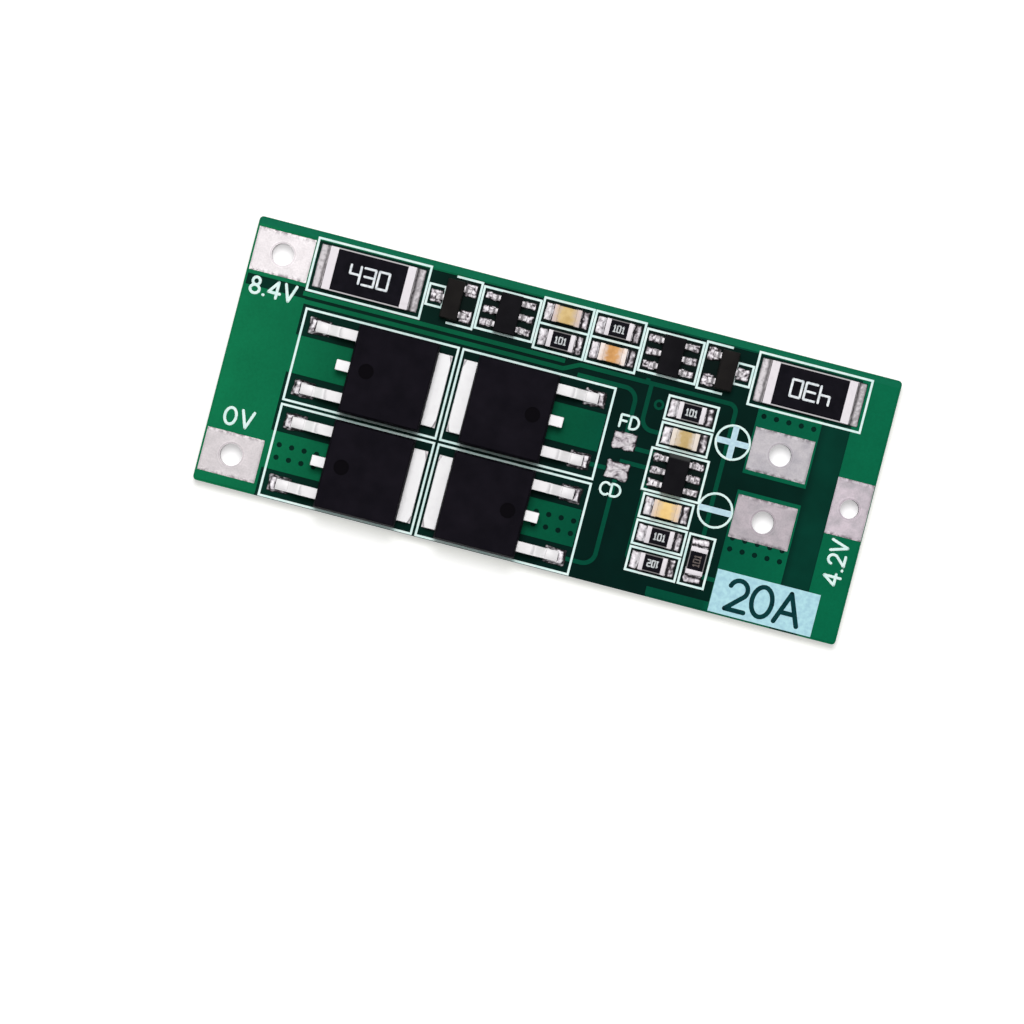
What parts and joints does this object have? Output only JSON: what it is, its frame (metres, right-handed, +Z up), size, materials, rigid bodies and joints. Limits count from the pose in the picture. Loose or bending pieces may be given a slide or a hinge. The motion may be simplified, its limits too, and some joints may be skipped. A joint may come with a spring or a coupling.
{
  "type": "two-cell battery protection board",
  "caption": "Small green circuit board that protects and balances a two-cell lithium battery, with power transistors, bleed resistors, chips and plated wire terminals.",
  "frame": {"origin": "under the middle of the board, on the plane of the underside's tinned lands", "axes": "+X along the board from the pack terminals to the middle tap, +Y across it to the row of bleed resistors, +Z up from the component side"},
  "size_m": [0.0474, 0.0196, 0.0037],
  "materials": {
    "solder_mask": "gloss",
    "masked_copper": "gloss",
    "white_ink": "satin",
    "tinned_land": "satin",
    "solder": "gloss",
    "tinned_lead": "satin",
    "tinned_end": "satin",
    "black_mould": "matte",
    "resistor_glaze": "satin",
    "capacitor_tan": "satin",
    "capacitor_orange": "satin"
  },
  "bodies": {
    "root": {"balance_chip_left_body": "black_mould", "balance_chip_left_leads": "tinned_lead", "balance_chip_right_body": "black_mould", "balance_chip_right_leads": "tinned_lead", "bleed_resistor_left_body": "resistor_glaze", "bleed_resistor_left_terminals": "tinned_end", "bleed_resistor_right_body": "resistor_glaze", "bleed_resistor_right_terminals": "tinned_end", "bottom_copper": "masked_copper", "bottom_silkscreen": "white_ink", "capacitor_1_body": "capacitor_tan", "capacitor_1_terminals": "tinned_end", "capacitor_2_body": "capacitor_orange", "capacitor_2_terminals": "tinned_end", "capacitor_3_body": "capacitor_tan", "capacitor_3_terminals": "tinned_end", "capacitor_4_body": "capacitor_orange", "capacitor_4_terminals": "tinned_end", "chip_resistor_1_body": "resistor_glaze", "chip_resistor_1_terminals": "tinned_end", "chip_resistor_2_body": "resistor_glaze", "chip_resistor_2_terminals": "tinned_end", "chip_resistor_3_body": "resistor_glaze", "chip_resistor_3_terminals": "tinned_end", "chip_resistor_4_body": "resistor_glaze", "chip_resistor_4_terminals": "tinned_end", "chip_resistor_5_body": "resistor_glaze", "chip_resistor_5_terminals": "tinned_end", "chip_resistor_6_body": "resistor_glaze", "chip_resistor_6_terminals": "tinned_end", "circuit_board": "solder_mask", "power_transistor_lower_left_body": "black_mould", "power_transistor_lower_left_drain_tab": "tinned_lead", "power_transistor_lower_left_leads": "tinned_lead", "power_transistor_lower_right_body": "black_mould", "power_transistor_lower_right_drain_tab": "tinned_lead", "power_transistor_lower_right_leads": "tinned_lead", "power_transistor_upper_left_body": "black_mould", "power_transistor_upper_left_drain_tab": "tinned_lead", "power_transistor_upper_left_leads": "tinned_lead", "power_transistor_upper_right_body": "black_mould", "power_transistor_upper_right_drain_tab": "tinned_lead", "power_transistor_upper_right_leads": "tinned_lead", "protection_chip_body": "black_mould", "protection_chip_leads": "tinned_lead", "solder_joints": "solder", "switch_transistor_left_body": "black_mould", "switch_transistor_left_leads": "tinned_lead", "switch_transistor_right_body": "black_mould", "switch_transistor_right_leads": "tinned_lead", "terminal_middle_tap": "tinned_land", "terminal_output_minus": "tinned_land", "terminal_output_plus": "tinned_land", "terminal_pack_minus": "tinned_land", "terminal_pack_plus": "tinned_land", "test_pad_lower": "tinned_land", "test_pad_upper": "tinned_land", "top_copper": "masked_copper", "top_silkscreen": "white_ink"}
  },
  "joints": []
}
